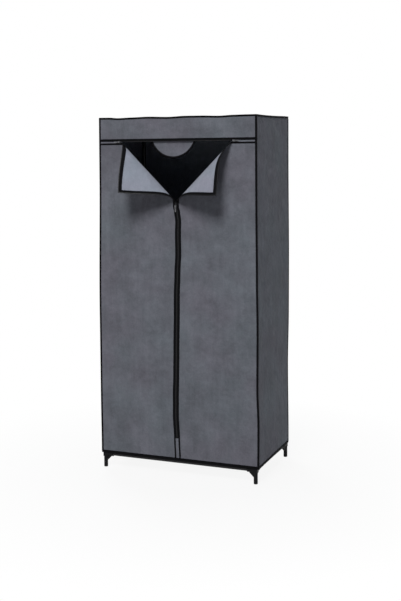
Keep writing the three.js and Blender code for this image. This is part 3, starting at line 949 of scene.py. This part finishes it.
def drawn_reach(facts, away):
    """How far from the fold a point lies when its cloth is curled."""
    return away * (1 - facts["drawn_in"] * (away / FLAP_DEPTH) ** 2)


def between(table, row, column):
    """A value between the four nearest ones of a table."""
    row = min(max(row, 0), CURL_STEPS)
    column = min(max(column, 0), CURL_STEPS)
    i, j = min(int(row), CURL_STEPS - 1), min(int(column), CURL_STEPS - 1)
    upper = table[i][j] + (table[i][j + 1] - table[i][j]) * (column - j)
    lower = table[i + 1][j] + (table[i + 1][j + 1] - table[i + 1][j]) * (column - j)
    return upper + (lower - upper) * (row - i)


def corner_surface(facts):
    """The curled cloth of a corner, by the distances below the top zip's line and beside the
    door's zip line that a point has when the corner is closed. Also the middle of the fold, and
    the way in which the share of the closing angle grows, per metre."""
    side = facts["side"]
    slope = math.sqrt(0.5)
    down_fold = Vector((-side * slope, 0, -slope))
    over_door = Vector((side * slope, 0, -slope))
    outward = Vector((0, -1, 0))
    start = Vector((side * FOLD_RUN, FRONT - STACK, ZIP_LINE))
    angles = cloth_angles(facts)

    def surface(below, beside):
        down = (FOLD_RUN - beside + below) * slope
        away = (FOLD_RUN - beside - below) * slope
        angle = between(angles, down / (2 * FLAP_DEPTH) * CURL_STEPS, away / FLAP_DEPTH * CURL_STEPS)
        reach = drawn_reach(facts, away)
        ripple = CORNER_RIPPLE * smooth(away, 0.0, CORNER_RIPPLE_RUN)
        ripple *= wave(down * 14, away * 9, side * 3.7)
        out = reach * math.sin(angle) + ripple
        return start + down_fold * down + over_door * (reach * math.cos(angle)) + outward * out

    growth = over_door * facts["away"] + outward * facts["out"] + down_fold * facts["along"]
    return surface, start + down_fold * FLAP_DEPTH, growth


def build_corner(name, facts):
    """A folded corner: its cloth, and the binding, half tape and half coil along its two edges."""
    surface, fold, growth = corner_surface(facts)
    bound_below = FLAP_TOP_EDGE - FLAP_BINDING / 2
    bound_beside = BAND_HALF - BINDING / 2
    tape_below, tape_beside = TOP_ZIP / 4, DOOR_ZIP / 4
    coil_row = COIL_WIDTH / 2
    coil_end = FOLD_RUN - FOLD_CLEARANCE

    def place(across, up):
        below = bound_below + (FOLD_RUN - bound_beside - bound_below) * up
        beside = bound_beside + (FOLD_RUN - below - bound_beside) * across
        return surface(below, beside)

    def edge_strip(start, end, profile, step=STRIP_STEP, teeth=0.0, slant=0.0):
        return strip_rings(surface, line(start, end, step), profile, 0.0, teeth, slant)

    flap = cloth_sheet(f"cloth_{name}_corner", place, CORNER_CELLS, CORNER_CELLS,
                       cloth_inside, cover_cloth, facts["side"])
    top_bound = wrap_profile(FLAP_BINDING, BINDING_THICKNESS + CLOTH)
    side_bound = wrap_profile(BINDING, BINDING_THICKNESS + CLOTH)
    bindings = [
        edge_strip((bound_below, BAND_HALF), (bound_below, FOLD_RUN - bound_below),
                   top_bound, slant=1.0),
        edge_strip((TOP_ZIP / 2, bound_beside), (FOLD_RUN - bound_beside, bound_beside),
                   side_bound, slant=-1.0),
    ]
    top_tape = wrap_profile(TOP_ZIP / 2 + TAPE_SEAM, 2 * TAPE_THICKNESS)
    side_tape = wrap_profile(DOOR_ZIP / 2 + TAPE_SEAM, 2 * TAPE_THICKNESS)
    tapes = [
        edge_strip((tape_below, 0.0), (tape_below, FOLD_RUN - TOP_ZIP / 2), top_tape),
        edge_strip((0.0, tape_beside), (FOLD_RUN - DOOR_ZIP / 2, tape_beside), side_tape),
    ]
    coil = wrap_profile(COIL_WIDTH, CORNER_COIL_HEIGHT)
    coils = [
        edge_strip((coil_row, END_GAP), (coil_row, coil_end), coil, COIL_PITCH / 2, TEETH),
        edge_strip((END_GAP, coil_row), (coil_end, coil_row), coil, COIL_PITCH / 2, TEETH),
    ]
    binding = strips(f"binding_{name}_corner", bindings, black_binding)
    tape = strips(f"tape_{name}_corner", tapes, zip_tape)
    teeth = strips(f"coil_{name}_corner", coils, zip_coil)
    declare(flap, f"{name}_corner_flap", None)
    finish_trim(binding, None, f"{name}_flap_edging")
    finish_trim(tape, None)
    finish_trim(teeth, None)
    for piece in (flap, binding, tape, teeth):
        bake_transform(piece)


# Dust flap

def dust_surface(x, z):
    """The flap hangs from its seam behind the valance, and a little further in below that."""
    waves = DUST_WAVES * smooth(ZIP_TOP - z, 0, DUST_DROP) * wave(x * 16, z * 12, 5.5)
    inset = DUST_INSET + DUST_BEND * smooth(ZIP_TOP + DUST_SEAM - z, 0, DUST_BEND_RUN)
    return Vector((x + DUST_SHIFT, FRONT + inset + waves, z))


def build_dust_flap():
    """A half-round flap that hangs from its seam, with a binding round its rim."""
    centre = ZIP_TOP - DUST_DROP + DUST_RADIUS
    top = ZIP_TOP + DUST_SEAM
    rim = DUST_RADIUS - DUST_BINDING / 2
    reach = math.acos((centre - top) / rim)
    steps = 60

    def rim_point(angle):
        return Vector((rim * math.sin(angle), centre - rim * math.cos(angle)))

    def place(across, down):
        edge = rim_point(reach * (2 * across - 1))
        x, z = Vector((edge.x, top)).lerp(edge, down)
        return dust_surface(x, z)

    flap = cloth_sheet("cloth_dust_flap", place, 48, 22, cover_cloth, cloth_inside, -1)
    path = [rim_point(-reach + 2 * reach * step / steps) for step in range(steps + 1)]
    rings = strip_rings(dust_surface, path, wrap_profile(DUST_BINDING, BINDING_THICKNESS + CLOTH))
    binding = strips("binding_dust_flap", [rings], black_binding)
    declare(flap, "dust_flap", "dust_flap")
    finish_trim(binding, "dust_flap", "dust_flap_binding")


# Camera, floor and light

# The camera, fitted to the cover's corners in the photo
CAMERA_PLACE = Vector((1.7503, -4.2423, 1.3947))
CAMERA_YAW = -0.382
CAMERA_PITCH = -0.0565
CAMERA_ROLL = -0.0053
FOCAL_PIXELS = 1005.3
PICTURE_HEIGHT_PIXELS = 601
HORIZON_SHIFT_PIXELS = -80.5
SENSOR = 36.0

# Surroundings
WHITE = (1, 1, 1, 1)
FLOOR_GREY = (0.46, 0.46, 0.46, 1)
FLOOR_RADIUS = 14.0
FLOOR_SIDES = 96
SKY_COLOR = (0.86, 0.93, 1.0, 1)
SKY_STRENGTH = 0.10
SIDE_BLUE = (0.74, 0.87, 1.0)
LAMPS_AIM = Vector((0, 0, 0.9))


def build_camera():
    data = bpy.data.cameras.new("camera")
    data.sensor_width = SENSOR
    data.lens = FOCAL_PIXELS * SENSOR / PICTURE_HEIGHT_PIXELS
    data.shift_y = HORIZON_SHIFT_PIXELS / PICTURE_HEIGHT_PIXELS
    camera = bpy.data.objects.new("camera", data)
    camera.location = CAMERA_PLACE
    level = math.cos(CAMERA_PITCH)
    forward = Vector((math.sin(CAMERA_YAW) * level, math.cos(CAMERA_YAW) * level,
                      math.sin(CAMERA_PITCH)))
    camera.rotation_mode = "QUATERNION"
    camera.rotation_quaternion = Quaternion(forward, -CAMERA_ROLL) @ forward.to_track_quat("-Z", "Y")
    bpy.context.scene.collection.objects.link(camera)
    bpy.context.scene.camera = camera


def rays_that_show(tree):
    """One for rays from the camera, a gloss or a clear thing, which show the white background, and
    nought for those that light the object."""
    path = tree.nodes.new("ShaderNodeLightPath")
    shown = path.outputs["Is Camera Ray"]
    for kind in ("Is Glossy Ray", "Is Transmission Ray"):
        larger = tree.nodes.new("ShaderNodeMath")
        larger.operation = "MAXIMUM"
        tree.links.new(shown, larger.inputs[0])
        tree.links.new(path.outputs[kind], larger.inputs[1])
        shown = larger.outputs[0]
    return shown


def build_floor():
    """A round floor that takes the object's shadow. It shows wholly white a little way off."""
    near, far, near_white = 0.4, 1.4, 0.90
    turns = [2 * math.pi * i / FLOOR_SIDES for i in range(FLOOR_SIDES)]
    rim = [Vector((math.cos(turn), math.sin(turn), 0)) * FLOOR_RADIUS for turn in turns]
    look = Nodes("floor", FLOOR_GREY, 0.9)
    where = look.add("ShaderNodeTexCoord").outputs["Object"]
    distance = look.add("ShaderNodeVectorMath", {0: where}, operation="LENGTH").outputs["Value"]
    white = look.add("ShaderNodeEmission", {"Color": WHITE, "Strength": 1.0})
    whiter = look.stretch(distance, near, far, near_white, 1.0)
    fade = look.math("MULTIPLY", rays_that_show(look.tree), whiter)
    mixed = look.add("ShaderNodeMixShader",
                     {0: fade, 1: look.shader.outputs[0], 2: white.outputs[0]})
    output = look.tree.nodes["Material Output"]
    look.tree.links.new(mixed.outputs[0], output.inputs["Surface"])
    floor = new_object("floor", rim, [list(range(FLOOR_SIDES))], look.material, False)


def build_world():
    """A dim sky that lights the object, with a white one where the background shows."""
    world = bpy.data.worlds.new("world")
    bpy.context.scene.world = world
    world.use_nodes = True
    tree = world.node_tree
    light = tree.nodes["Background"]
    light.inputs["Color"].default_value = SKY_COLOR
    light.inputs["Strength"].default_value = SKY_STRENGTH
    white = tree.nodes.new("ShaderNodeBackground")
    white.inputs["Color"].default_value = WHITE
    white.inputs["Strength"].default_value = 1.0
    mixed = tree.nodes.new("ShaderNodeMixShader")
    tree.links.new(rays_that_show(tree), mixed.inputs[0])
    tree.links.new(light.outputs[0], mixed.inputs[1])
    tree.links.new(white.outputs[0], mixed.inputs[2])
    tree.links.new(mixed.outputs[0], tree.nodes["World Output"].inputs["Surface"])


def area_light(name, azimuth, elevation, distance, size, power, color=(1, 1, 1)):
    """A soft lamp round the object. Azimuth 0 is in front of it and 90 to its right."""
    a, e = math.radians(azimuth), math.radians(elevation)
    way = Vector((math.sin(a) * math.cos(e), -math.cos(a) * math.cos(e), math.sin(e)))
    data = bpy.data.lights.new(name, "AREA")
    data.shape = "SQUARE"
    data.size = size
    data.energy = power
    data.color = color
    lamp = bpy.data.objects.new(name, data)
    lamp.location = LAMPS_AIM + way * distance
    lamp.rotation_mode = "QUATERNION"
    lamp.rotation_quaternion = (-way).to_track_quat("-Z", "Y")
    bpy.context.scene.collection.objects.link(lamp)


build_camera()
bpy.context.scene.view_settings.view_transform = "Standard"
dress_frame()
build_piping()
build_roof()
build_wall("back", "back_panel")
build_wall("left", "left_side_panel")
build_wall("right", "right_side_panel")
build_valance()
build_top_zip()
build_door_zip()
build_zip_end()
build_door("left", -1)
build_door("right", 1)
build_base()
build_dust_flap()
for corner, facts in CORNERS.items():
    build_corner(corner, facts)
build_floor()
build_world()
area_light("key", azimuth=4, elevation=48, distance=15.0, size=5.0, power=2120)
area_light("side", azimuth=84, elevation=12, distance=6.0, size=3.0, power=24, color=SIDE_BLUE)
area_light("back", azimuth=-140, elevation=28, distance=9.0, size=4.0, power=640)
